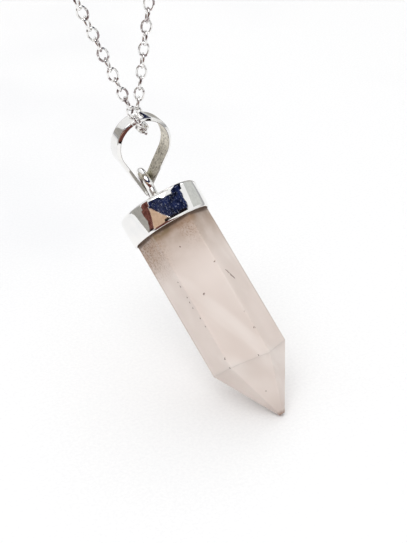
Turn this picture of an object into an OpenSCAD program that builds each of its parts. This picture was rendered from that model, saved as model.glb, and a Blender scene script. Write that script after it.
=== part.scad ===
// Crystal point pendant on a fine link chain, hung up as a whole loop.
// Millimetres. +Z up, -Y the front of the bail, origin at the top of the chain
// loop where it hangs. Built in the leaning pose that the pendant is kept in.

/* [Crystal] */
// corner to corner across the six sides
crystal_across = 9.95; // [8:0.05:12]
// length of the straight sides below the cap
crystal_sides_h = 18.8; // [14:0.1:24]
// height of the six-facet point
crystal_point_h = 7.8; // [6:0.1:11]
// width of the worn flat on the very tip
crystal_tip_w = 0.7; // [0.3:0.1:1.2]

/* [Cap and ring] */
// room for glue between the crystal's corners and the cap
cap_clearance = 0.045; // [0.02:0.005:0.2]
// height of the cap
cap_h = 3.9; // [3:0.1:6]
// thickness of the cap's metal
cap_wall = 0.28; // [0.2:0.02:0.6]
// rounding of the cap's top edge
cap_edge_r = 0.5; // [0.2:0.05:0.6]
// outer diameter of the wire ring on top
ring_d = 4.9; // [4.4:0.1:5.6]
// thickness of the ring's wire
ring_wire = 1.1; // [0.8:0.05:1.2]

/* [Bail] */
// outer width of the bail's round top
bail_round_d = 7.3; // [6.6:0.1:8.5]
// from the middle of the round top down to the foot
bail_foot_drop = 7.2; // [6.6:0.1:8]
// thickness of the bail's strip
bail_wall = 0.45; // [0.3:0.05:0.6]
// width of the strip over the top and down both sides
bail_top_w = 2.4; // [2:0.1:2.6]
// width of the strip at the foot
bail_foot_w = 1.8; // [1.2:0.1:1.9]

/* [Chain and clasp] */
// thickness of the plain tube that stands in for the links
chain_d = 1.3; // [1:0.1:1.6]
// radius of the round top of the chain loop
loop_r = 42; // [36:1:46]
// lean of the front strand, to the left
front_strand_lean = 23.2; // [20:0.2:26]
// lean of the back strand, to the right
back_strand_lean = 8; // [5:0.5:10]
// outer diameter of the clasp's spring ring
clasp_d = 6; // [5:0.5:8]

/* [Hidden] */
// fine enough for every round edge to be read as a true arc
$fn = 48;
silver = [0.86, 0.86, 0.85];
quartz = [0.86, 0.79, 0.76];

// pose: the bail leans a little, the drop leans back and to the left with
// one flat face turned forwards
bail_lean = -2.5;
drop_back = 44.5;
drop_side = 12.6;
drop_turn = -25.2;
ring_turn = 6;

// crystal, and the cap that fits round its six corners
crystal_r = crystal_across / 2;
cap_inside_r = crystal_r + cap_clearance;
cap_r = cap_inside_r + cap_wall;
cap_roof = 0.45;
crystal_in_cap_h = cap_h - cap_roof;
ring_sink = 0.15;
ring_mid_r = (ring_d - ring_wire) / 2;
// the ring's middle stands this far above the top of the cap
ring_up = ring_d / 2 - ring_sink;

// bail outline: a circle and the two lines that touch it from the foot
bail_r = bail_round_d / 2;
bail_half_angle = asin(bail_r / bail_foot_drop);
bail_in_r = bail_r - bail_wall;
bail_in_drop = bail_foot_drop - bail_wall / sin(bail_half_angle);
// the strip narrows from here down to its foot
bail_narrows_at = -0.42 * bail_foot_drop;

// the loop: two straight strands from one point, joined by the round top
half_v = (front_strand_lean + back_strand_lean) / 2;
v_lean = (front_strand_lean - back_strand_lean) / 2;
strand_l = loop_r / tan(half_v);
loop_c = [0, 0, -loop_r];
v_point = loop_c + loop_r / sin(half_v) * [sin(v_lean), 0, -cos(v_lean)];
front_way = [-sin(front_strand_lean), 0, cos(front_strand_lean)];
back_way = [sin(back_strand_lean), 0, cos(back_strand_lean)];

// the middle of the bail's round top; its foot stands inside the ring, with
// room to the ring's wire below it
bail_at = v_point + [-0.12, 0, 0];
bail_foot_cut = 0.25;
ring_room = 0.3;
ring_drop = bail_foot_drop - bail_foot_cut - (ring_d / 2 - ring_wire) + ring_room;
ring_at = bail_at + [0.7, -0.05, -ring_drop];

// the chain's way under the top of the bail, from the bail's middle:
// down in front, through, and up behind
under_bail = [
    [-1.95, -2.2, 5.0], [-1.35, -2.25, 3.9], [-0.75, -2.2, 3.0], [-0.28, -1.75, 2.38],
    [-0.12, -0.9, 2.12], [0, 0, 2.08], [0.12, 0.9, 2.12], [0.28, 1.75, 2.38],
    [0.5, 2.2, 3.0], [0.68, 2.25, 3.9], [0.84, 2.2, 5.0]
];

// clasp on the round top, a little down its right side
clasp_angle = 50;
clasp_wire = 1.2;
clasp_eye_d = 2.6;
clasp_eye_wire = 0.6;
clasp_r = clasp_d / 2;
// the chain stops in the middle of the small eyes
clasp_reach = clasp_r + clasp_eye_d - clasp_eye_wire - 0.25;
clasp_gap = clasp_reach / loop_r * 180 / PI;

// the chain tube: rings of eight points carried along the route
tube_sides = 8;
strand_rings = 11;
strand_side = 2.2;
// the straight strands start this far above the point where they would meet
strand_start = 8;

function unit(v) = v / norm(v);
function strand_point(way, k, side) =
    v_point + way * (strand_start + (strand_l - strand_start) * k) + [0, side * (1 - k), 0];
function crown_point(a) = loop_c + loop_r * [cos(a), 0, sin(a)];

front_crown = [for (i = [0 : 23])
    crown_point(clasp_angle + clasp_gap + (180 + front_strand_lean - clasp_angle - clasp_gap) * i / 23)];
back_crown = [for (i = [0 : 8])
    crown_point(-back_strand_lean + (clasp_angle - clasp_gap + back_strand_lean) * i / 8)];
front_strand = [for (i = [1 : strand_rings]) strand_point(front_way, 1 - i / strand_rings, -strand_side)];
back_strand = [for (i = [0 : strand_rings - 1]) strand_point(back_way, i / strand_rings, strand_side)];
route = concat(front_crown, front_strand, [for (p = under_bail) bail_at + p], back_strand, back_crown);
route_n = len(route);

ways = [for (i = [0 : route_n - 1])
    unit(route[min(i + 1, route_n - 1)] - route[max(i - 1, 0)])];
function across(n, way) = unit(n - (n * way) * way);
sides = [for (i = 0, n = across([0, 1, 0], ways[0]); i < route_n;
    i = i + 1, n = i < route_n ? across(n, ways[i]) : n) n];
tube_points = [for (i = [0 : route_n - 1]) for (k = [0 : tube_sides - 1])
    let (a = 360 * (k + 0.5) / tube_sides, b = cross(ways[i], sides[i]))
    route[i] + chain_d / 2 * (cos(a) * sides[i] + sin(a) * b)];
tube_faces = concat(
    [[for (k = [tube_sides - 1 : -1 : 0]) k]],
    [[for (k = [0 : tube_sides - 1]) (route_n - 1) * tube_sides + k]],
    [for (i = [0 : route_n - 2]) for (k = [0 : tube_sides - 1])
        let (a = i * tube_sides + k, b = i * tube_sides + (k + 1) % tube_sides)
        [a, b, b + tube_sides, a + tube_sides]]
);

module drop_pose() {
    translate(ring_at)
        rotate([-drop_back, 0, 0]) rotate([0, -drop_side, 0]) rotate([0, 0, drop_turn])
            children();
}

// six-sided prism with its point downwards, from the ring's middle
module crystal() {
    color(quartz)
    drop_pose() translate([0, 0, -ring_up - cap_h]) {
        translate([0, 0, -crystal_sides_h])
            cylinder(h = crystal_sides_h + crystal_in_cap_h, r = crystal_r, $fn = 6);
        translate([0, 0, -crystal_sides_h - crystal_point_h])
            cylinder(h = crystal_point_h, r1 = crystal_tip_w / 2, r2 = crystal_r, $fn = 6);
    }
}

// cap with a rounded top edge, open below, and the ring soldered on it
module cap() {
    color(silver)
    drop_pose() {
        translate([0, 0, -ring_up - cap_h])
            difference() {
                rotate_extrude() cap_profile();
                translate([0, 0, -1])
                    cylinder(h = cap_h - cap_roof + 1, r = cap_inside_r);
            }
        rotate([0, 0, ring_turn]) rotate([0, 90, 0])
            rotate_extrude() translate([ring_mid_r, 0]) circle(r = ring_wire / 2);
        // solder round the ring's foot
        translate([0, 0, -ring_up - 0.05])
            cylinder(h = 0.4, r1 = ring_wire * 0.85, r2 = ring_wire * 0.5);
    }
}

module cap_profile() {
    square([cap_r - cap_edge_r, cap_h]);
    square([cap_r, cap_h - cap_edge_r]);
    translate([cap_r - cap_edge_r, cap_h - cap_edge_r])
        intersection() {
            circle(r = cap_edge_r);
            square(cap_edge_r);
        }
}

// a strip bent to a drop shape, its two ends meeting in the pointed foot
module bail() {
    color(silver)
    translate(bail_at) rotate([0, bail_lean, 0])
        intersection() {
            rotate([90, 0, 0])
                linear_extrude(height = bail_top_w, center = true)
                    difference() {
                        bail_outline(bail_r, bail_foot_drop);
                        bail_outline(bail_in_r, bail_in_drop);
                    }
            rotate([0, 90, 0]) rotate([0, 0, 90])
                linear_extrude(height = bail_round_d + 1, center = true)
                    polygon([
                        [-bail_foot_w / 2, -bail_foot_drop + bail_foot_cut],
                        [bail_foot_w / 2, -bail_foot_drop + bail_foot_cut],
                        [bail_top_w / 2, bail_narrows_at],
                        [bail_top_w / 2, bail_r + 1],
                        [-bail_top_w / 2, bail_r + 1],
                        [-bail_top_w / 2, bail_narrows_at]
                    ]);
        }
}

module bail_outline(r, drop) {
    a = asin(r / drop);
    circle(r = r, $fn = 96);
    polygon([[0, -drop], [r * cos(a), -r * sin(a)], [0, 0], [-r * cos(a), -r * sin(a)]]);
}

module chain() {
    color(silver) polyhedron(points = tube_points, faces = tube_faces);
}

// spring ring, with an eye for each end of the chain
module clasp() {
    color(silver)
    translate(loop_c) rotate([0, -clasp_angle, 0]) translate([loop_r, 0, 0]) {
        rotate([90, 0, 0])
            rotate_extrude() translate([clasp_r - clasp_wire / 2, 0]) circle(r = clasp_wire / 2);
        for (s = [-1, 1])
            translate([0, 0, s * (clasp_r + clasp_eye_d / 2 - clasp_eye_wire)])
                rotate([90, 0, 0])
                    rotate_extrude()
                        translate([(clasp_eye_d - clasp_eye_wire) / 2, 0])
                            circle(r = clasp_eye_wire / 2);
    }
}

crystal();
cap();
bail();
chain();
clasp();
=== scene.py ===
import math
import random

import bmesh
import bpy
from mathutils import Matrix, Vector


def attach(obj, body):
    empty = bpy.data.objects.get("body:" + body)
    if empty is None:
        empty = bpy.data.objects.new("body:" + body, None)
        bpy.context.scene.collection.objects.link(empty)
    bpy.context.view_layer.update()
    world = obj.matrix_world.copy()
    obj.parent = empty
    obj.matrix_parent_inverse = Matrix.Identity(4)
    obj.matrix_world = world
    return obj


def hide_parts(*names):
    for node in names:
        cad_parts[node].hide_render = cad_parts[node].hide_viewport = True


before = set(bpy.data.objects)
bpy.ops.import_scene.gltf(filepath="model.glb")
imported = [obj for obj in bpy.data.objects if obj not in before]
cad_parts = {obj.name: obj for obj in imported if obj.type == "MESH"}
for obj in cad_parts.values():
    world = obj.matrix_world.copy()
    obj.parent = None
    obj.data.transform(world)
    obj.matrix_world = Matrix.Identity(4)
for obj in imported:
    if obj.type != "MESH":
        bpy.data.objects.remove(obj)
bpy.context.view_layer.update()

# the chain loop: a round top and two straight strands that meet under it
LOOP_RADIUS = 42.0
FRONT_LEAN = math.radians(23.2)
BACK_LEAN = math.radians(8.0)
HALF_V = (FRONT_LEAN + BACK_LEAN) / 2
V_LEAN = (FRONT_LEAN - BACK_LEAN) / 2
STRAND_LENGTH = LOOP_RADIUS / math.tan(HALF_V)
LOOP_MIDDLE = Vector((0, 0, -LOOP_RADIUS))
STRANDS_MEET = LOOP_MIDDLE + LOOP_RADIUS / math.sin(HALF_V) * Vector(
    (math.sin(V_LEAN), 0, -math.cos(V_LEAN)))
FRONT_WAY = Vector((-math.sin(FRONT_LEAN), 0, math.cos(FRONT_LEAN)))
BACK_WAY = Vector((math.sin(BACK_LEAN), 0, math.cos(BACK_LEAN)))

# the chain's route: where the strands start, how far they stand apart there,
# and how many points each part of the route has
STRAND_START = 8.0
STRAND_SIDE = 2.2
STRAND_STEPS = 11
CROWN_FRONT_STEPS = 23
CROWN_BACK_STEPS = 8
UNDER_BAIL_HEIGHT = 2.08
UNDER_BAIL = [
    (-1.95, -2.2, 5.0), (-1.35, -2.25, 3.9), (-0.75, -2.2, 3.0), (-0.28, -1.75, 2.38),
    (-0.12, -0.9, 2.12), (0, 0, UNDER_BAIL_HEIGHT), (0.12, 0.9, 2.12), (0.28, 1.75, 2.38),
    (0.5, 2.2, 3.0), (0.68, 2.25, 3.9), (0.84, 2.2, 5.0)]

# the clasp on the round top, as outer sizes, and the room it takes from the chain
CLASP_ANGLE = math.radians(50)
CLASP_RING_RADIUS = 3.0
CLASP_WIRE_RADIUS = 0.6
CLASP_EYE = 2.6
CLASP_EYE_WIRE = 0.6
CLASP_EYE_OUT = CLASP_RING_RADIUS + CLASP_EYE / 2 - CLASP_EYE_WIRE
CLASP_GAP = (CLASP_RING_RADIUS + CLASP_EYE - CLASP_EYE_WIRE - 0.25) / LOOP_RADIUS
CLASP_POSE = (Matrix.Translation(LOOP_MIDDLE) @ Matrix.Rotation(-CLASP_ANGLE, 4, "Y")
              @ Matrix.Translation((LOOP_RADIUS, 0, 0)))

# where the bail and the drop hang, and how they lean
BAIL_MIDDLE = STRANDS_MEET + Vector((-0.12, 0, 0))
RING_MIDDLE = BAIL_MIDDLE + Vector((0.7, -0.05, -5.9))
BAIL_POSE = Matrix.Translation(BAIL_MIDDLE) @ Matrix.Rotation(math.radians(-2.5), 4, "Y")
DROP_POSE = (Matrix.Translation(RING_MIDDLE)
             @ Matrix.Rotation(math.radians(-44.5), 4, "X")
             @ Matrix.Rotation(math.radians(-12.6), 4, "Y")
             @ Matrix.Rotation(math.radians(-25.2), 4, "Z"))
NO_POSE = Matrix.Identity(4)
MM = 0.001
TO_METRES = Matrix.Scale(MM, 4)

# heights on the drop
CAP_TOP = -2.3
CAP_FOOT = CAP_TOP - 3.9
CAP_RADIUS = 5.3
CRYSTAL_RADIUS = 4.975
SHOULDER = CAP_FOOT - 18.8
TIP = SHOULDER - 7.8

# the way from the pendant to the camera
TO_CAMERA = Vector((-0.393, -0.772, 0.5))
FULL_TURN = 2 * math.pi
ROUND_Y = (0, 1, 0)
ROUND_Z = (0, 0, 1)


def everything(shape):
    """All of a shape's parts, for the operators that want them in one list."""
    return shape.verts[:] + shape.edges[:] + shape.faces[:]


def spin_closed(shape, geom, axis, steps, middle=(0, 0, 0)):
    """Spins an outline once round an axis and closes the seam."""
    bmesh.ops.spin(shape, geom=geom, axis=axis, cent=middle, angle=FULL_TURN, steps=steps,
                   use_merge=True, use_duplicate=False)
    bmesh.ops.remove_doubles(shape, verts=shape.verts[:], dist=0.001)


def as_mesh(name, shape):
    """Writes a shape out as a mesh and lets the shape go."""
    mesh = bpy.data.meshes.new(name)
    shape.to_mesh(mesh)
    shape.free()
    return mesh


def in_scene(name, data):
    """Puts a mesh, a camera or a lamp into the scene."""
    thing = bpy.data.objects.new(name, data)
    bpy.context.scene.collection.objects.link(thing)
    return thing


def finish_piece(name, shape, pose, body, nodes, finishes, sharp=40):
    """Writes a shape made in millimetres as one finished piece in metres."""
    shape.transform(TO_METRES @ pose)
    bmesh.ops.recalc_face_normals(shape, faces=shape.faces)
    mesh = as_mesh(name, shape)
    mesh.shade_smooth()
    mesh.set_sharp_from_angle(angle=math.radians(sharp))
    piece = in_scene(name, mesh)
    for finish in finishes:
        mesh.materials.append(finish)
    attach(piece, body)
    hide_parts(*nodes)


class Finish:
    """A material's node tree, with short names for the nodes that the finishes use."""

    def __init__(self, name):
        self.material = bpy.data.materials.new(name)
        self.material.use_nodes = True
        self.tree = self.material.node_tree
        self.tree.nodes.clear()
        self.out = self.tree.nodes.new("ShaderNodeOutputMaterial")
        self.shader = self.tree.nodes.new("ShaderNodeBsdfPrincipled")
        self.fill(self.out.inputs["Surface"], self.shader.outputs[0])
        self.place = self.node("TexCoord", {}, "Object")

    def fill(self, socket, value):
        """Gives a node's input a number, a vector, a colour or another node's output."""
        if isinstance(value, bpy.types.NodeSocket):
            self.tree.links.new(value, socket)
        elif socket.type == "RGBA":
            socket.default_value = (*value, 1.0)
        else:
            socket.default_value = value

    def node(self, kind, inputs, output=0, **settings):
        """Adds a node with its settings and inputs, and gives back one of its outputs."""
        node = self.tree.nodes.new("ShaderNode" + kind)
        for key, value in settings.items():
            setattr(node, key, value)
        for key, value in inputs.items():
            self.fill(node.inputs[key], value)
        return node.outputs[output]

    def set(self, **values):
        """Fills the surface's own inputs, such as Base_Color and Roughness."""
        for key, value in values.items():
            self.fill(self.shader.inputs[key.replace("_", " ")], value)

    def moved(self, pose):
        """The place turned into a piece's own directions, in metres."""
        return self.node("Mapping", {"Vector": self.place, "Location": pose.to_translation() * MM,
                                     "Rotation": pose.to_euler()}, vector_type="TEXTURE")

    def stretched(self, source, scale):
        """The place counted in steps of its own size along each axis."""
        return self.node("Mapping", {"Vector": source, "Scale": scale})

    def tilted(self, source, angles):
        """The place turned by angles round the three axes."""
        return self.node("Mapping", {"Vector": source, "Rotation": angles})

    def noise(self, source, scale, detail=3.0, rough=0.5, distort=0.0):
        """Cloudy noise round 0.5, finer with a larger scale."""
        return self.node("TexNoise", {"Vector": source, "Scale": scale, "Detail": detail,
                                      "Roughness": rough, "Distortion": distort}, "Fac")

    def spread(self, source, low, high, to_low=0.0, to_high=1.0, smooth=True):
        """Goes from one level to another while the source goes from low to high."""
        return self.node("MapRange", {"Value": source, "From Min": low, "From Max": high,
                                      "To Min": to_low, "To Max": to_high},
                         interpolation_type="SMOOTHSTEP" if smooth else "LINEAR")

    def between(self, source, low, high, to_low=0.0, to_high=1.0):
        """The same between two lengths that are given in millimetres."""
        return self.spread(source, low * MM, high * MM, to_low, to_high)

    def math(self, kind, a, b=0.0):
        """Joins two values, each a number or another node's output."""
        return self.node("Math", {0: a, 1: b}, operation=kind)

    def blend(self, amount, first, second):
        """Goes from the first colour to the second as the amount goes from 0 to 1."""
        return self.node("Mix", {0: amount, 6: first, 7: second}, 2, data_type="RGBA")

    def axis(self, source, name):
        """The place along one axis, in metres."""
        return self.node("SeparateXYZ", {0: source}, name)

    def near(self, source, spot):
        """How far the place is from a spot in millimetres, in metres."""
        return self.node("VectorMath", {0: source, 1: Vector(spot) * MM}, "Value",
                         operation="DISTANCE")

    def crack_line(self, source, start, end):
        """1 along the straight line between two spots in millimetres, 0 away from it."""
        both = self.math("ADD", self.near(source, start), self.near(source, end))
        wobble = self.spread(self.noise(source, 2600.0, 2.0), 0.3, 0.7, -0.02 * MM, 0.02 * MM)
        length = (Vector(end) - Vector(start)).length
        return self.between(self.math("ADD", both, wobble), length + 0.03, length + 0.01)

    def bump(self, height, strength, distance):
        """Raises the surface by a height, at most a distance in millimetres."""
        self.set(Normal=self.node("Bump", {"Height": height, "Strength": strength,
                                           "Distance": distance * MM}))


def polished_silver(name, pose, grain=0.0, painted_dark_reflection_spots=0.0, painted_shade_inside_ring=0.0):
    """Bright silver with fine rubbing marks, with painted dark reflections in spots and painted
    shade inside the ring where asked.
    """
    finish = Finish(name)
    place = finish.moved(pose)
    cloud = finish.noise(place, 500.0)
    marks = finish.noise(finish.stretched(place, (5200, 1400, 900)), 1.0, 4.0, 0.6)
    rough = finish.spread(marks, 0.35, 0.75, 0.03, 0.08)
    colour = finish.blend(finish.spread(cloud, 0.35, 0.7), (0.93, 0.92, 0.90), (0.87, 0.87, 0.86))
    if grain:
        worn = finish.spread(finish.noise(place, 3200.0, 5.0, 0.7), 0.42, 0.62, 0.0, grain)
        colour = finish.blend(worn, colour, (0.56, 0.55, 0.52))
        rough = finish.math("ADD", rough, finish.math("MULTIPLY", worn, 0.3))
    # painted reflection: random dark maroon spots in the colour stand in for dark things that the
    # polished links mirror
    if painted_dark_reflection_spots:
        dark = finish.spread(finish.noise(place, 1100.0, 2.0, 0.6), 0.52, 0.6, 0.0, painted_dark_reflection_spots)
        colour = finish.blend(dark, colour, (0.15, 0.08, 0.085))
    # painted shade: the inside of the ring's wire, close to the drop's middle, is darkened as if
    # its hole were in shade
    if painted_shade_inside_ring:
        ring_hole_shade = finish.between(finish.near(place, (0, 0, 0)), painted_shade_inside_ring * 1.12,
                               painted_shade_inside_ring * 0.95)
        ring_hole_shade = finish.math("MULTIPLY", ring_hole_shade, finish.spread(cloud, 0.3, 0.5, 0.6, 0.95))
        colour = finish.blend(ring_hole_shade, colour, (0.09, 0.05, 0.05))
    finish.set(Base_Color=colour, Roughness=rough, Metallic=1.0)
    finish.bump(marks, 0.08, 0.02)
    return finish.material


# chain
def smooth_route(points, steps=14):
    """A rounded line through the chosen points."""
    line = []
    for i in range(len(points) - 1):
        before, start = points[max(i - 1, 0)], points[i]
        end, after = points[i + 1], points[min(i + 2, len(points) - 1)]
        span = (end - start).length
        out = (end - before).normalized() * span
        home = (after - start).normalized() * span
        for k in range(steps):
            t = k / steps
            line.append((2 * t**3 - 3 * t**2 + 1) * start + (t**3 - 2 * t**2 + t) * out
                        + (3 * t**2 - 2 * t**3) * end + (t**3 - t**2) * home)
    line.append(points[-1].copy())
    return line


def crown_point(angle):
    """A place on the loop's round top."""
    return LOOP_MIDDLE + LOOP_RADIUS * Vector((math.cos(angle), 0, math.sin(angle)))


def strand_point(way, k, side):
    """A place on a straight strand, k of the way up; the strands stand apart at the bail."""
    up = STRAND_START + (STRAND_LENGTH - STRAND_START) * k
    return STRANDS_MEET + way * up + Vector((0, side * (1 - k), 0))


def chain_route():
    """The chain's way from the clasp down the front, under the bail and up behind."""
    start = CLASP_ANGLE + CLASP_GAP
    front_sweep = math.pi + FRONT_LEAN - start
    back_sweep = CLASP_ANGLE - CLASP_GAP + BACK_LEAN
    crown = [crown_point(start + front_sweep * i / CROWN_FRONT_STEPS)
             for i in range(CROWN_FRONT_STEPS + 1)]
    front = [strand_point(FRONT_WAY, 1 - i / STRAND_STEPS, -STRAND_SIDE)
             for i in range(1, STRAND_STEPS + 1)]
    bail = [BAIL_MIDDLE + Vector(p) for p in UNDER_BAIL]
    back = [strand_point(BACK_WAY, i / STRAND_STEPS, STRAND_SIDE) for i in range(STRAND_STEPS)]
    last = [crown_point(-BACK_LEAN + back_sweep * i / CROWN_BACK_STEPS)
            for i in range(CROWN_BACK_STEPS + 1)]
    return smooth_route(crown + front + bail + back + last)


# one link, as outer sizes
LINK_LENGTH = 1.99
LINK_WIDTH = 1.46
LINK_WIRE = 0.3
# how much further each link takes the chain: pulled tight, and slack round the bail
LINK_PITCH = 1.385
SLACK_PITCH = 1.27
SLACK_LINKS = 4
LINK_SHIFT = -0.03
# links on each side at the set pitch; the rest share what is left up to the clasp
EVEN_LINKS = 40
CLASP_LINK = 0.34
# every second link stands across its neighbours, and none hangs quite true
LINK_CROSS = math.pi / 2 + 0.3
LINK_LOOSE = 0.15
LINK_CHANCE = 7
# points of the route before and after a link that set its direction
LINK_REACH = 6


def oval_link():
    """One link in its own XZ plane, long way up Z."""
    link = bmesh.new()
    middle = (LINK_WIDTH - LINK_WIRE) / 2
    ring = bmesh.ops.create_circle(link, segments=6, radius=LINK_WIRE / 2,
                                   matrix=Matrix.Translation((middle, 0, 0)))
    spin_closed(link, ring["verts"] + link.edges[:], ROUND_Y, 14)
    stretch = (LINK_LENGTH - LINK_WIDTH) / 2
    for point in link.verts:
        point.co.z += stretch * point.co.z / math.hypot(point.co.x, point.co.z)
    return link


def link_steps(side):
    """How far the links on one side of the bail are from its middle, up to the clasp."""
    steps = [min(k, SLACK_LINKS) * SLACK_PITCH + max(0, k - SLACK_LINKS) * LINK_PITCH
             for k in range(1, EVEN_LINKS)]
    rest = side - steps[-1]
    count = math.ceil(rest / LINK_PITCH)
    if (EVEN_LINKS - 1 + count) % 2 == 0:
        # the last link is one that stands across the clasp's eye
        count += 1
    return steps + [steps[-1] + rest * (k + 1) / count for k in range(count)]


def link_chain():
    """Links threaded one through the next along the whole route."""
    route = chain_route()
    lengths = [0.0]
    for a, b in zip(route, route[1:]):
        lengths.append(lengths[-1] + (b - a).length)
    bottom = BAIL_MIDDLE + Vector((0, 0, UNDER_BAIL_HEIGHT))
    middle = lengths[min(range(len(route)), key=lambda i: (route[i] - bottom).length)]
    middle += LINK_SHIFT
    before_bail = [-step for step in link_steps(middle - CLASP_LINK)]
    after_bail = link_steps(lengths[-1] - middle - CLASP_LINK)
    reaches = before_bail[::-1] + [0.0] + after_bail
    chance = random.Random(LINK_CHANCE)
    link_mesh = as_mesh("one_link", oval_link())
    chain = bmesh.new()
    at = 0
    for number, reach in enumerate(reaches, -len(before_bail)):
        reach += middle
        while at < len(lengths) - 2 and lengths[at + 1] < reach:
            at += 1
        share = (reach - lengths[at]) / (lengths[at + 1] - lengths[at])
        centre = route[at].lerp(route[at + 1], share)
        back = route[max(at - LINK_REACH, 0)]
        ahead = route[min(at + 1 + LINK_REACH, len(route) - 1)]
        along = (ahead - back).normalized()
        front = (TO_CAMERA - TO_CAMERA.dot(along) * along).normalized()
        twist = chance.uniform(-LINK_LOOSE, LINK_LOOSE) + (LINK_CROSS if number % 2 else 0.0)
        front = Matrix.Rotation(twist, 3, along) @ front
        side = front.cross(along)
        turn = Matrix((side, front, along)).transposed().to_4x4()
        before = len(chain.verts)
        chain.from_mesh(link_mesh)
        chain.verts.ensure_lookup_table()
        bmesh.ops.transform(chain, matrix=Matrix.Translation(centre) @ turn,
                            verts=chain.verts[before:])
    bpy.data.meshes.remove(link_mesh)
    return chain


# bail
BAIL_RADIUS = 3.65
BAIL_WALL = 0.45
BAIL_DROP = 7.2
BAIL_FOOT = -6.95
BAIL_WIDTH = 2.4
BAIL_FOOT_WIDTH = 1.8
BAIL_NARROWS_AT = -0.42 * BAIL_DROP
# across the strip, from 0 in the middle to 1 at its edge: nearly flat as far as
# BAIL_FLAT, bending down as far as BAIL_SLOPE, then sloping steeply
BAIL_FLAT = 0.78
BAIL_SLOPE = 0.86
BAIL_BEND = 13.0
BAIL_STEEP = 2.08
BAIL_DOME = 0.03
BAIL_EDGE = (BAIL_DOME + BAIL_BEND * (BAIL_SLOPE - BAIL_FLAT) ** 2
             + BAIL_STEEP * (1 - BAIL_SLOPE))
# faces round the section, along half the round top and down each leg
BAIL_SECTION = 40
BAIL_ROUND_STEPS = 26
BAIL_LEG_STEPS = 8
BAIL_LEG_STEP = 0.86


def bail_strip():
    """A strip with sloping edges, bent to a drop shape that is cut flat at its foot."""
    strip = bmesh.new()
    section = bmesh.ops.create_circle(strip, segments=BAIL_SECTION, radius=1.0)["verts"]
    for point in section:
        across, up = point.co.x, point.co.y
        # more points stand near the edges, where the strip bends
        power = 0.5 if up > 0 else 0.2
        wide = math.copysign(abs(across) ** power, across)
        slope_start = max(0.0, min(abs(wide), BAIL_SLOPE) - BAIL_FLAT)
        lower = BAIL_DOME * wide * wide + BAIL_BEND * slope_start ** 2
        lower += BAIL_STEEP * max(0.0, abs(wide) - BAIL_SLOPE)
        if up < -0.001:
            lower = BAIL_EDGE + (BAIL_WALL - BAIL_EDGE) * min(1.0, 1.6 * abs(up) ** 0.2)
        point.co = Vector((0, BAIL_WIDTH / 2 * wide, BAIL_RADIUS - lower))
    # half the round top, then one straight leg
    lean = math.asin(BAIL_RADIUS / BAIL_DROP)
    bmesh.ops.spin(strip, geom=strip.verts[:] + strip.edges[:], axis=ROUND_Y, cent=(0, 0, 0),
                   angle=math.pi / 2 + lean, steps=BAIL_ROUND_STEPS, use_duplicate=False)
    down = Vector((-math.sin(lean), 0, -math.cos(lean)))
    tip = [e for e in strip.edges if e.is_boundary and e.verts[0].co.z < 0]
    for _ in range(BAIL_LEG_STEPS):
        grown = bmesh.ops.extrude_edge_only(strip, edges=tip)["geom"]
        tip = [g for g in grown if isinstance(g, bmesh.types.BMEdge) and g.is_boundary
               and all(v in grown for v in g.verts)]
        bmesh.ops.translate(strip, vec=down * BAIL_LEG_STEP,
                            verts=[g for g in grown if isinstance(g, bmesh.types.BMVert)])
    for point in strip.verts:
        share = min(1.0, max(0.0, (point.co.z - BAIL_FOOT) / (BAIL_NARROWS_AT - BAIL_FOOT)))
        point.co.y *= 1 - (1 - BAIL_FOOT_WIDTH / BAIL_WIDTH) * (1 - share)
    # the half is cut along the middle, mirrored, and cut flat at the foot
    bmesh.ops.bisect_plane(strip, geom=everything(strip), plane_co=(0, 0, 0),
                           plane_no=(-1, 0, 0), clear_outer=True, dist=0.0001)
    bmesh.ops.mirror(strip, geom=everything(strip), axis="X", merge_dist=0.003)
    bmesh.ops.bisect_plane(strip, geom=everything(strip), plane_co=(0, 0, BAIL_FOOT),
                           plane_no=(0, 0, -1), clear_outer=True, dist=0.0001)
    bmesh.ops.holes_fill(strip, edges=strip.edges[:], sides=0)
    bmesh.ops.remove_doubles(strip, verts=strip.verts[:], dist=0.002)
    bmesh.ops.recalc_face_normals(strip, faces=strip.faces)
    # 0 is the polished outside, 1 the worn inside, 2 the thin side walls of the inside, painted
    # dark as shade
    for face in strip.faces:
        spot = face.calc_center_median()
        inward = Vector((-spot.x, 0, -spot.z)).normalized()
        if spot.z < -BAIL_RADIUS * math.sin(lean):
            inward = Vector((math.copysign(math.cos(lean), -spot.x), 0, math.sin(lean)))
        face.material_index = 1 if face.normal.dot(inward) > 0.8 else 0
        # painted shade: the strip's thin side walls get the dark finish
        if abs(face.normal.y) > 0.97:
            face.material_index = 2
    return strip


# cap and ring
BARREL = 0.055
CAP_ROUNDING = 0.55
RIM_ROUNDING = 0.07
CAP_WALL = 0.27
CAP_ROOF = 0.45
CAP_HALF = (CAP_TOP - CAP_FOOT) / 2
CAP_WAIST = (CAP_TOP + CAP_FOOT) / 2
CAP_RINGS = 12
RING_WIRE_RADIUS = 0.55
RING_RADIUS = 1.9
RING_TURN = math.radians(6)
# outlines as (radius, height)
SOLDER = [(0, CAP_TOP - 0.1), (1.0, CAP_TOP - 0.1), (0.95, CAP_TOP + 0.03),
          (0.72, CAP_TOP + 0.13), (0.55, CAP_TOP + 0.3), (0.45, CAP_TOP + 0.5),
          (0, CAP_TOP + 0.55)]
GLUE = [(4.2, CAP_FOOT + 0.5), (5.0, CAP_FOOT + 0.5), (5.0, CAP_FOOT + 0.1),
        (4.75, CAP_FOOT + 0.17), (4.2, CAP_FOOT + 0.22), (4.2, CAP_FOOT + 0.5)]


def draw_outline(shape, outline):
    """Joins (radius, height) points into one line, ready to be spun round Z."""
    points = [shape.verts.new((r, 0, z)) for r, z in outline]
    for pair in zip(points, points[1:]):
        shape.edges.new(pair)
    return points


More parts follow.
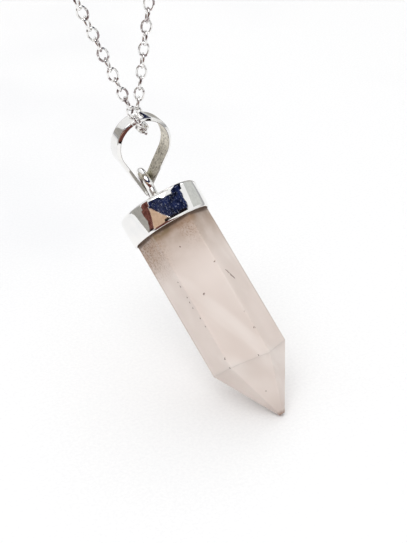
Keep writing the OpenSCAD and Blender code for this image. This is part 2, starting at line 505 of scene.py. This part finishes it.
def spun(outline, steps):
    """A closed skin turned round Z from one outline."""
    shape = bmesh.new()
    draw_outline(shape, outline)
    spin_closed(shape, shape.verts[:] + shape.edges[:], ROUND_Z, steps)
    return shape


def cap_side(height):
    """Radius of the cap's gently barrelled side at one height."""
    return CAP_RADIUS + BARREL * (1 - ((height - CAP_WAIST) / CAP_HALF) ** 2)


def cap_with_ring():
    """The pressed cap, a little barrelled, with its ring, solder and glue."""
    cap = bmesh.new()
    heights = [CAP_TOP - 0.02 - (2 * CAP_HALF - 0.02) * i / CAP_RINGS
               for i in range(CAP_RINGS + 1)]
    outline = [(0, CAP_TOP), (CAP_RADIUS - 1.6, CAP_TOP - 0.005)]
    outline += [(cap_side(z), z) for z in heights if z < CAP_TOP - 0.9 or z == heights[0]]
    outline += [(CAP_RADIUS - CAP_WALL, CAP_FOOT), (CAP_RADIUS - CAP_WALL, CAP_TOP - CAP_ROOF),
                (0, CAP_TOP - CAP_ROOF)]
    points = draw_outline(cap, outline)
    top_corner = points[2]
    rim = [v for v in points if abs(v.co.z - CAP_FOOT) < 0.001]
    bmesh.ops.bevel(cap, geom=[top_corner], offset=CAP_ROUNDING, segments=8, profile=0.5,
                    affect="VERTICES", material=-1)
    bmesh.ops.bevel(cap, geom=rim, offset=RIM_ROUNDING, segments=3, profile=0.5,
                    affect="VERTICES", material=-1)
    spin_closed(cap, cap.verts[:] + cap.edges[:], ROUND_Z, 96)

    ring = bmesh.new()
    wire = bmesh.ops.create_circle(ring, segments=20, radius=RING_WIRE_RADIUS,
                                   matrix=Matrix.Translation((RING_RADIUS, 0, 0))
                                   @ Matrix.Rotation(math.pi / 2, 4, "X"))
    spin_closed(ring, wire["verts"] + ring.edges[:], ROUND_Z, 56)
    ring.transform(Matrix.Rotation(RING_TURN, 4, "Z") @ Matrix.Rotation(math.pi / 2, 4, "Y"))

    solder = spun(SOLDER, 32)
    glue = spun(GLUE, 64)
    for face in glue.faces:
        face.material_index = 1
    for extra in (ring, solder, glue):
        bmesh.ops.recalc_face_normals(extra, faces=extra.faces)
        mesh = as_mesh("extra", extra)
        cap.from_mesh(mesh)
        bpy.data.meshes.remove(mesh)
    return cap


# crystal: how far each shoulder corner stands below the even height
CORNER_SHIFT = [0.2, 0.0, 0.0, -0.3, -0.15, 0.6]
TIP_RADIUS = 0.42
EDGE_ROUNDING = 0.11
FLAT_BORDER = 0.08


def crystal_point():
    """Six cut sides and six point facets that meet at slightly uneven corners."""
    stone = bmesh.new()
    bmesh.ops.create_circle(stone, cap_ends=True, segments=6, radius=CRYSTAL_RADIUS,
                            matrix=Matrix.Translation((0, 0, CAP_TOP - CAP_ROOF - 0.02))
                            @ Matrix.Rotation(math.radians(30), 4, "Z"))
    face = stone.faces[:][0]
    grown = bmesh.ops.extrude_face_region(stone, geom=[face])["geom"]
    shoulder = [g for g in grown if isinstance(g, bmesh.types.BMVert)]
    for point in shoulder:
        corner = round(math.degrees(math.atan2(point.co.y, point.co.x)) / 60) % 6
        point.co.z = SHOULDER - CORNER_SHIFT[corner]
    face = [g for g in grown if isinstance(g, bmesh.types.BMFace)][0]
    grown = bmesh.ops.extrude_face_region(stone, geom=[face])["geom"]
    for point in [g for g in grown if isinstance(g, bmesh.types.BMVert)]:
        point.co.z = TIP
        point.co.x *= TIP_RADIUS / CRYSTAL_RADIUS
        point.co.y *= TIP_RADIUS / CRYSTAL_RADIUS
    return stone


def soften(stone):
    """Rounds the edges a little and keeps the large faces between them flat."""
    edges = [e for e in stone.edges if e.calc_length() > 1.0]
    bmesh.ops.bevel(stone, geom=edges, offset=EDGE_ROUNDING, segments=3, profile=0.5,
                    affect="EDGES", material=-1, clamp_overlap=True)
    flats = [f for f in stone.faces if f.calc_area() > 3.0]
    bmesh.ops.inset_individual(stone, faces=flats, thickness=FLAT_BORDER, use_even_offset=True)
    for height in (SHOULDER + 0.6, SHOULDER - 0.9, TIP + 0.6):
        bmesh.ops.bisect_plane(stone, geom=everything(stone), plane_co=(0, 0, height),
                               plane_no=(0, 0, 1), dist=0.0001)
    return stone


# clasp
def spring_ring():
    """A plain shut spring ring with an eye for each end of the chain."""
    clasp = bmesh.new()
    wire_at = Matrix.Translation((CLASP_RING_RADIUS - CLASP_WIRE_RADIUS, 0, 0))
    wire = bmesh.ops.create_circle(clasp, segments=16, radius=CLASP_WIRE_RADIUS, matrix=wire_at)
    spin_closed(clasp, wire["verts"] + clasp.edges[:], ROUND_Y, 56)
    for side in (-CLASP_EYE_OUT, CLASP_EYE_OUT):
        eye_at = Matrix.Translation(((CLASP_EYE - CLASP_EYE_WIRE) / 2, 0, side))
        eye = bmesh.ops.create_circle(clasp, segments=12, radius=CLASP_EYE_WIRE / 2,
                                      matrix=eye_at)
        edges = list({e for v in eye["verts"] for e in v.link_edges})
        spin_closed(clasp, eye["verts"] + edges, ROUND_Y, 28, (0, 0, side))
    return clasp


# crystal finish
STONE_DEEP = (0.655, 0.565, 0.515)
STONE_MID = (0.72, 0.63, 0.58)
STONE_PALE = (0.80, 0.735, 0.69)
STONE_NEAR_CAP_GLUE_AND_SHADE = (0.40, 0.30, 0.235)
BROWN_DUST = (0.40, 0.24, 0.145)
BROWN_GRAIN = (0.22, 0.12, 0.065)
RIM_GLUE_AND_SHADE = (0.30, 0.175, 0.095)
RIM_STAIN = (0.19, 0.125, 0.045)
CAP_RIM_SHADOW = (0.11, 0.06, 0.035)
SIDE_EDGE = (0.30, 0.20, 0.16)
POINT_SHADE = (0.45, 0.36, 0.32)
CHIP_BROWN = (0.24, 0.13, 0.085)
PIT_BROWN = (0.16, 0.09, 0.07)

# small pits along the ridges, and one short crack, as places on the drop
PIT_RADII = (0.09, 0.14, 0.11, 0.15)
RIDGE_PITS = [
    (-2.76, -3.84, -12.8), (-2.76, -3.8, -13.4), (-2.72, -3.9, -14.9), (-2.76, -3.83, -15.6),
    (-2.77, -3.83, -16.4), (-2.64, -4.04, -17.9), (-2.6, -4.1, -19.1), (-2.54, -4.2, -23.6),
    (-2.59, -4.13, -24.8), (2.3, -4.31, -12.9), (2.36, -4.31, -19.9), (2.38, -4.31, -22.1),
    (1.13, -4.25, -25.2), (1.89, -2.66, -27.6), (-0.37, -4.31, -9.2), (-0.77, -4.31, -15.6),
    (-0.29, -2.07, -29.4)]
CRACK_START = (2.93, -3.54, -14.3)
CRACK_END = (3.42, -2.7, -15.8)


def brown_by_cap(finish, place, height, across, colour):
    """The stone near the cap: browner from glue residue and painted shade, with dust, grains, a
    brown rim band that is partly glue residue and partly painted shade, a stain, and a painted
    shadow line under the rim.
    """
    # glue residue and painted shade: the stone browns towards the cap's foot
    close = finish.between(height, CAP_FOOT - 7, CAP_FOOT - 0.3)
    drift = finish.spread(finish.noise(place, 420.0), 0.3, 0.65, 0.55, 1.0)
    colour = finish.blend(finish.math("MULTIPLY", close, drift), colour, STONE_NEAR_CAP_GLUE_AND_SHADE)

    left = finish.between(across, -1.0, -3.8)
    band = finish.between(finish.math("ABSOLUTE", finish.math("SUBTRACT", across, 1.6 * MM)),
                          1.6, 0.3)
    low = finish.between(height, CAP_FOOT - 6.5, CAP_FOOT - 1)
    top = finish.between(height, CAP_FOOT - 4.5, CAP_FOOT - 0.5)
    dusty = finish.math("ADD", finish.math("MULTIPLY", left, low),
                        finish.math("MULTIPLY", band, finish.math("MULTIPLY", top, 0.7)))
    dust = finish.spread(finish.noise(place, 900.0, 3.0, 0.6), 0.35, 0.65)
    dust = finish.math("MULTIPLY", finish.math("MULTIPLY", dusty, dust), 0.5)
    colour = finish.blend(dust, colour, BROWN_DUST)
    grains = finish.spread(finish.noise(place, 4400.0, 2.0, 0.7), 0.5, 0.6)
    grains = finish.math("MULTIPLY", grains, finish.math("MULTIPLY", dusty, 0.9))
    colour = finish.blend(grains, colour, BROWN_GRAIN)

    # glue residue and painted shade: a brown band just under the cap's rim at the front
    rim = finish.between(height, CAP_FOOT - 1.5, CAP_FOOT - 0.5)
    front = finish.between(finish.near(place, (0.4, -4.3, CAP_FOOT)), 3.7, 2.6)
    rim_band = finish.math("MULTIPLY", finish.math("MULTIPLY", rim, front),
                           finish.spread(finish.noise(place, 1100.0), 0.25, 0.6, 0.5, 0.85))
    colour = finish.blend(rim_band, colour, RIM_GLUE_AND_SHADE)
    reach = finish.between(finish.near(place, (-1.6, -4.3, CAP_FOOT - 0.2)), 1.9, 0.9)
    stain = finish.math("MULTIPLY", finish.math("MULTIPLY", rim, reach),
                        finish.spread(finish.noise(place, 1500.0), 0.35, 0.6))
    colour = finish.blend(finish.math("MULTIPLY", stain, 0.7), colour, RIM_STAIN)
    # painted shadow: a thin dark line on the stone just under the cap's rim, where the cap shades
    # the gap
    seam = finish.between(height, CAP_FOOT - 0.42, CAP_FOOT - 0.16)
    return finish.blend(finish.math("MULTIPLY", seam, 0.75), colour, CAP_RIM_SHADOW)


def edges_and_tip(finish, place, height, across, clouds, colour):
    """Darker outer edges, painted shade towards the point, and the point's small brown chip."""
    edge = finish.between(finish.math("ABSOLUTE", across), 4.74, 4.96)
    strong = finish.between(height, SHOULDER + 0.5, SHOULDER + 5, 0.15, 0.5)
    colour = finish.blend(finish.math("MULTIPLY", edge, strong), colour, SIDE_EDGE)
    # painted shade: the stone darkens towards the point, close to the floor
    shade = finish.between(height, TIP + 2.6, TIP + 0.4, 0.0, 0.3)
    colour = finish.blend(shade, colour, POINT_SHADE)
    chip = finish.between(finish.near(place, (0, 0, TIP)), 0.9, 0.4)
    chip = finish.math("MULTIPLY", chip, finish.spread(clouds, 0.3, 0.6, 0.6, 0.85))
    return finish.blend(chip, colour, CHIP_BROWN)


def pits_and_crack(finish, place):
    """1 in the small ragged pits, nearly 1 along the crack, 0 elsewhere."""
    ragged = finish.spread(finish.noise(place, 6500.0, 2.0), 0.25, 0.75, -0.14 * MM, 0.14 * MM,
                           smooth=False)
    dents = finish.math("MULTIPLY", finish.crack_line(place, CRACK_START, CRACK_END), 0.8)
    for number, spot in enumerate(RIDGE_PITS):
        wide = PIT_RADII[number % len(PIT_RADII)]
        away = finish.math("ADD", finish.near(place, spot), ragged)
        dents = finish.math("MAXIMUM", dents, finish.between(away, wide, wide * 0.4))
    return dents


def milky_quartz():
    """Cloudy pinkish stone: pale veils, brown grains near the cap, small pits."""
    finish = Finish("milky_quartz")
    place = finish.moved(DROP_POSE)
    height = finish.axis(place, "Z")
    across = finish.axis(place, "X")
    slanted = finish.tilted(place, (0.0, math.radians(24), 0.0))
    veil_place = finish.stretched(slanted, (260, 160, 55))
    veils = finish.spread(finish.noise(veil_place, 1.0, 2.0, 0.5, 0.5), 0.45, 0.72)
    clouds = finish.noise(place, 150.0, 2.0)
    colour = finish.blend(finish.spread(clouds, 0.3, 0.7), STONE_DEEP, STONE_MID)
    colour = finish.blend(finish.math("MULTIPLY", veils, 0.6), colour, STONE_PALE)
    colour = brown_by_cap(finish, place, height, across, colour)
    colour = edges_and_tip(finish, place, height, across, clouds, colour)
    dents = pits_and_crack(finish, place)
    colour = finish.blend(dents, colour, PIT_BROWN)
    dull = finish.spread(finish.noise(place, 1400.0), 0.3, 0.7, 0.34, 0.48)
    finish.set(Base_Color=colour, Roughness=dull, IOR=1.54, Subsurface_Weight=0.35,
               Subsurface_Radius=(1.0, 0.92, 0.9), Subsurface_Scale=0.6 * MM)
    waves = finish.math("ADD", finish.math("MULTIPLY", finish.noise(place, 320.0, 2.0), 2.0),
                        finish.math("MULTIPLY", finish.noise(place, 2500.0), 0.25))
    finish.bump(finish.math("SUBTRACT", waves, finish.math("MULTIPLY", dents, 1.5)), 0.3, 0.06)
    return finish.material


def brown_glue():
    """Dark dried glue that shows as a thin line under the cap."""
    finish = Finish("brown_glue")
    place = finish.moved(DROP_POSE)
    lumps = finish.noise(place, 1500.0)
    finish.set(Base_Color=finish.blend(lumps, (0.09, 0.045, 0.025), (0.2, 0.12, 0.07)),
               Roughness=0.45)
    finish.bump(lumps, 0.4, 0.08)
    return finish.material


def worn_silver(name, pose, tarnish):
    """Unpolished silver: grey and grained, with dark pores and one tarnished spot."""
    finish = Finish(name)
    place = finish.moved(pose)
    cloud = finish.noise(place, 700.0)
    grain = finish.noise(place, 4200.0, 5.0, 0.7)
    colour = finish.blend(finish.spread(cloud, 0.3, 0.7), (0.66, 0.61, 0.52), (0.48, 0.44, 0.36))
    colour = finish.blend(finish.spread(grain, 0.42, 0.62), colour, (0.80, 0.76, 0.66))
    pores = finish.spread(finish.noise(place, 3300.0, 3.0, 0.7), 0.55, 0.62)
    colour = finish.blend(finish.math("MULTIPLY", pores, 0.85), colour, (0.1, 0.08, 0.055))
    spot, reach, tint = tarnish
    dirt = finish.between(finish.near(place, spot), reach, reach * 0.3)
    dirt = finish.math("MULTIPLY", dirt, finish.spread(cloud, 0.3, 0.55, 0.5, 1.0))
    colour = finish.blend(dirt, colour, tint)
    finish.set(Base_Color=colour, Roughness=finish.spread(grain, 0.3, 0.7, 0.3, 0.5),
               Metallic=1.0)
    finish.bump(grain, 0.5, 0.05)
    return finish.material


def painted_shade_edge():
    """Painted shade: a dark brown, lumpy colour on the thin side walls at the bail's inner edges.
    """
    finish = Finish("painted_shade_edge")
    place = finish.moved(BAIL_POSE)
    lumps = finish.noise(place, 1800.0)
    colour = finish.blend(finish.spread(lumps, 0.35, 0.65), (0.07, 0.04, 0.03), (0.25, 0.2, 0.15))
    finish.set(Base_Color=colour, Metallic=0.6, Roughness=0.5)
    finish.bump(lumps, 0.3, 0.04)
    return finish.material


# pieces
CHAIN_FINISH = polished_silver("chain_silver", NO_POSE, painted_dark_reflection_spots=0.75)
CLASP_FINISH = polished_silver("clasp_silver", CLASP_POSE)
CAP_FINISH = polished_silver("cap_silver", DROP_POSE, painted_shade_inside_ring=1.6)
BAIL_FINISH = polished_silver("bail_silver", BAIL_POSE, grain=0.12)
BAIL_INSIDE = worn_silver("bail_inside", BAIL_POSE, ((0.7, 0.4, -5.3), 1.5, (0.28, 0.26, 0.1)))

finish_piece("chain_links", link_chain(), NO_POSE, "necklace", ["chain"],
             [CHAIN_FINISH], 60)
finish_piece("bail_strip", bail_strip(), BAIL_POSE, "bail", ["bail"],
             [BAIL_FINISH, BAIL_INSIDE, painted_shade_edge()])
finish_piece("cap_and_ring", cap_with_ring(), DROP_POSE, "drop", ["cap"],
             [CAP_FINISH, brown_glue()])
finish_piece("crystal_point", soften(crystal_point()), DROP_POSE, "drop", ["crystal"],
             [milky_quartz()], 60)
finish_piece("clasp_ring", spring_ring(), CLASP_POSE, "necklace", ["clasp"],
             [CLASP_FINISH])

# camera: where it stands and what one pixel of the photograph covers at the bail
PHOTO_WIDE = 407
PHOTO_HIGH = 543
BAIL_FROM_LEFT = 141.1
BAIL_FROM_TOP = 142.5
PIXEL = 0.122
DISTANCE = 140.0
LOOKS_DOWN = math.radians(30)
SENSOR = 36
RIGHT = Vector((0.891, -0.454, 0)).normalized()
AHEAD = Vector((0.454 * math.cos(LOOKS_DOWN), 0.891 * math.cos(LOOKS_DOWN), -0.5))
AHEAD.normalize()
UP = RIGHT.cross(AHEAD).normalized()
EYE = (BAIL_MIDDLE - RIGHT * ((BAIL_FROM_LEFT - PHOTO_WIDE / 2) * PIXEL)
       + UP * ((BAIL_FROM_TOP - PHOTO_HIGH / 2) * PIXEL) - AHEAD * DISTANCE)


def camera():
    """Looks down at the pendant as the photograph does."""
    eye = bpy.data.cameras.new("camera")
    eye.sensor_fit = "VERTICAL"
    eye.sensor_height = SENSOR
    eye.lens = SENSOR * DISTANCE / PIXEL / PHOTO_HIGH
    eye.clip_start = 0.005
    holder = in_scene("camera", eye)
    turn = Matrix((RIGHT, UP, -AHEAD)).transposed().to_4x4()
    holder.matrix_world = Matrix.Translation(EYE * MM) @ turn
    bpy.context.scene.camera = holder


camera()

# floor, just under the crystal's tip, and light
FLOOR_HEIGHT = (DROP_POSE @ Vector((0, 0, TIP))).z - 0.25
FLOOR_HALF = 2.5


def floor():
    """A wide pale floor; its half width is in metres."""
    sheet = bmesh.new()
    bmesh.ops.create_grid(sheet, x_segments=1, y_segments=1, size=FLOOR_HALF)
    mesh = as_mesh("floor", sheet)
    mesh.transform(Matrix.Translation((0, 0, FLOOR_HEIGHT * MM)))
    plane = in_scene("floor", mesh)
    finish = Finish("pale_floor")
    speck = finish.spread(finish.noise(finish.place, 2600.0, 3.0, 0.7), 0.3, 0.7)
    haze = finish.spread(finish.noise(finish.place, 9.0), 0.5, 0.75)
    colour = finish.blend(speck, (0.825, 0.825, 0.83), (0.87, 0.87, 0.87))
    colour = finish.blend(finish.math("MULTIPLY", haze, 0.6), colour, (0.74, 0.745, 0.77))
    finish.set(Base_Color=colour, Roughness=0.7)
    mesh.materials.append(finish.material)


floor()


def studio_world():
    """White above and grey towards the far walls, so metal shows its shape."""
    world = bpy.data.worlds.new("studio")
    bpy.context.scene.world = world
    world.use_nodes = True
    tree = world.node_tree
    sky = tree.nodes["Background"]
    place = tree.nodes.new("ShaderNodeTexCoord")
    parts = tree.nodes.new("ShaderNodeSeparateXYZ")
    ramp = tree.nodes.new("ShaderNodeValToRGB")
    tree.links.new(place.outputs["Generated"], parts.inputs[0])
    tree.links.new(parts.outputs["Z"], ramp.inputs[0])
    tree.links.new(ramp.outputs[0], sky.inputs[0])
    bands = ramp.color_ramp.elements
    bands[0].position, bands[0].color = 0.0, (0.42, 0.42, 0.43, 1)
    bands[1].position, bands[1].color = 0.55, (1.0, 1.0, 1.0, 1)
    for position, shade in ((0.12, 0.5), (0.3, 0.9)):
        band = bands.new(position)
        band.color = (shade, shade, shade, 1)
    sky.inputs[1].default_value = 0.95


studio_world()


def softbox(name, spot, size, power):
    """A square lamp that looks at the bail from a place in millimetres round it."""
    lamp = bpy.data.lights.new(name, "AREA")
    lamp.size = size
    lamp.energy = power
    holder = in_scene(name, lamp)
    holder.location = (BAIL_MIDDLE + Vector(spot)) * MM
    holder.rotation_euler = (-Vector(spot)).to_track_quat("-Z", "Y").to_euler()


softbox("key_softbox", (-200, -180, 430), 0.35, 0.8)
softbox("back_softbox", (240, 360, 380), 0.4, 0.45)


def seen_in_cap(angle, height, distance):
    """Where the camera's look goes after it meets the cap at one place."""
    radius = cap_side(height)
    slope = 2 * BARREL * (height - CAP_WAIST) / CAP_HALF ** 2
    round_up = (height - CAP_TOP + CAP_ROUNDING) / CAP_ROUNDING
    if round_up > 0:
        tilt = math.asin(round_up)
        radius -= CAP_ROUNDING * (1 - math.cos(tilt))
        slope += math.tan(tilt)
    spot = DROP_POSE @ Vector((radius * math.cos(angle), radius * math.sin(angle), height))
    normal = DROP_POSE.to_3x3() @ Vector((math.cos(angle), math.sin(angle), slope))
    way = (spot - EYE).normalized().reflect(normal.normalized())
    return spot + way * distance


def glow(name, dark, light, flecks=0.0, patch=2.5):
    """A card's own faintly patchy light, with fine bright flecks where asked."""
    finish = Finish(name)
    place = finish.node("UVMap", {}, "UV")
    patches = finish.spread(finish.noise(place, patch, 4.0, 0.7), 0.35, 0.65)
    colour = finish.blend(patches, dark, light)
    if flecks:
        bright = finish.spread(finish.noise(place, 5.0, 3.0, 0.75), 0.58, 0.68)
        colour = finish.blend(finish.math("MULTIPLY", bright, flecks), colour, (0.5, 0.55, 0.72))
    finish.fill(finish.out.inputs["Surface"], finish.node("Emission", {"Color": colour}))
    return finish.material


def card(name, sheet, finish):
    """A card in millimetres that shows only in polished metal."""
    sheet.transform(TO_METRES)
    mesh = as_mesh(name, sheet)
    mesh.materials.append(finish)
    board = in_scene(name, mesh)
    for kind in ("camera", "diffuse", "transmission", "shadow", "volume_scatter"):
        setattr(board, "visible_" + kind, False)


# where a card is cut so that it can follow the cap's rounded top edge
ROUND_EDGE_CUTS = (-2.85, -2.7, -2.55, -2.45)


def cap_card(name, corners, distance, finish):
    """A card cut so that the cap mirrors it between (angle, height) corners on its side."""
    sheet = bmesh.new()
    sheet.faces.new([sheet.verts.new((math.radians(turn) * CAP_RADIUS, height, 0))
                     for turn, height in corners])
    bmesh.ops.triangulate(sheet, faces=sheet.faces)
    for height in ROUND_EDGE_CUTS:
        bmesh.ops.bisect_plane(sheet, geom=everything(sheet), plane_co=(0, height, 0),
                               plane_no=(0, 1, 0), dist=0.0001)
    weave = sheet.loops.layers.uv.new("UVMap")
    for face in sheet.faces:
        for loop in face.loops:
            loop[weave].uv = loop.vert.co.xy
    for point in sheet.verts:
        point.co = seen_in_cap(point.co.x / CAP_RADIUS, point.co.y, distance)
    card(name, sheet, finish)


def curtain_card(name, start, end, low, high, distance, finish):
    """A card bent round the bail, between two directions and two heights."""
    sheet = bmesh.new()
    ends = [sheet.verts.new((distance, 0, z)) for z in (low, high)]
    side = sheet.edges.new(ends)
    sheet.transform(Matrix.Rotation(math.radians(start), 4, "Z"))
    bmesh.ops.spin(sheet, geom=ends + [side], axis=ROUND_Z, cent=(0, 0, 0),
                   angle=math.radians(end - start), steps=16, use_duplicate=False)
    sheet.transform(Matrix.Translation(BAIL_MIDDLE))
    card(name, sheet, finish)


def facing_card(name, way, distance, half_across, half_up, finish):
    """A straight card that faces the bail from one side."""
    sheet = bmesh.new()
    bmesh.ops.create_grid(sheet, x_segments=1, y_segments=1, size=1)
    middle = Vector(way).normalized() * distance
    turn = (-middle).to_track_quat("Z", "Y").to_matrix().to_4x4()
    size = Matrix.Diagonal((half_across, half_up, 1, 1))
    sheet.transform(Matrix.Translation(BAIL_MIDDLE + middle) @ turn @ size)
    card(name, sheet, finish)


# cards round the pendant: angles are in degrees, and heights on the cap's side are
# heights on the drop; the other heights count from the bail's middle
BROWN = glow("brown_card", (0.07, 0.022, 0.018), (0.2, 0.08, 0.065))
BLACK = glow("black_card", (0.003, 0.002, 0.002), (0.015, 0.01, 0.01))
BEIGE = glow("beige_card", (0.53, 0.36, 0.25), (0.66, 0.47, 0.33))
NAVY = glow("navy_card", (0.001, 0.0015, 0.006), (0.016, 0.026, 0.095), 0.95, 1.0)
GREY = glow("grey_card", (0.34, 0.33, 0.31), (0.42, 0.4, 0.37))
PALE = glow("pale_card", (0.55, 0.56, 0.54), (0.66, 0.67, 0.65))

cap_card("brown_card", [(-109, -2.53), (-101, -2.55), (-101, -2.7), (-104, -3.2), (-104.5, -3.85),
                        (-108, -4.95), (-113.5, -6.3), (-122, -6.3), (-122, -6.1),
                        (-117, -5.55), (-114, -4.7), (-115, -4.05), (-115, -3.15),
                        (-110.5, -2.6)], 150, BROWN)
cap_card("black_card_left", [(-122, -6.3), (-122, -6.1), (-118.5, -5.75), (-113, -5.7),
                             (-113.5, -6.3)], 140, BLACK)
cap_card("black_card", [(-97, -6.35), (-93, -5.6), (-88, -5.55), (-86, -5.8), (-84, -5.6),
                        (-74, -5.75), (-62, -5.5), (-58, -5.9), (-62, -6.1), (-70, -6.35)],
         130, BLACK)
cap_card("beige_card", [(-103.5, -3.4), (-99, -4.0), (-93, -4.95), (-85.5, -5.75), (-85.5, -6.3),
                        (-113, -6.3), (-108, -4.95), (-104.5, -3.85)], 145, BEIGE)
cap_card("navy_card", [(-101, -2.78), (-98.5, -2.75), (-82, -2.85), (-69.5, -2.9), (-64, -2.7),
                       (-57, -2.4), (-46, -2.38), (-50, -2.7), (-55, -3.2), (-54, -3.8),
                       (-56.5, -4.45), (-55, -5.0), (-57, -5.55), (-61.5, -6.05), (-70.5, -6.3),
                       (-85, -6.3), (-85, -5.75), (-91.5, -5.1), (-97, -4.25), (-104, -3.35)],
         160, NAVY)
cap_card("grey_card_left", [(-128.5, -2.5), (-112, -2.5), (-113, -3.15), (-113, -4.7),
                            (-116, -5.6), (-121, -6.1), (-126.5, -6.05), (-131, -5.4),
                            (-130.5, -4.4), (-129.5, -3.4)], 200, GREY)
cap_card("grey_card_right", [(-44, -2.4), (-24, -2.4), (-30, -6.2), (-50, -6.2)], 200, PALE)
curtain_card("brown_curtain", 208, 286, -10, 130, 210, BROWN)
curtain_card("black_curtain", 222, 286, -55, -10, 210, BLACK)
facing_card("black_card_front", (0.5, -0.76, 0.4), 210, 28, 28, BLACK)
facing_card("navy_card_back", (0.52, 0.79, 0.36), 150, 16, 15, NAVY)
curtain_card("grey_curtain_back", 40, 66, -22, 14, 75, GREY)

bpy.context.scene.view_settings.view_transform = "Standard"
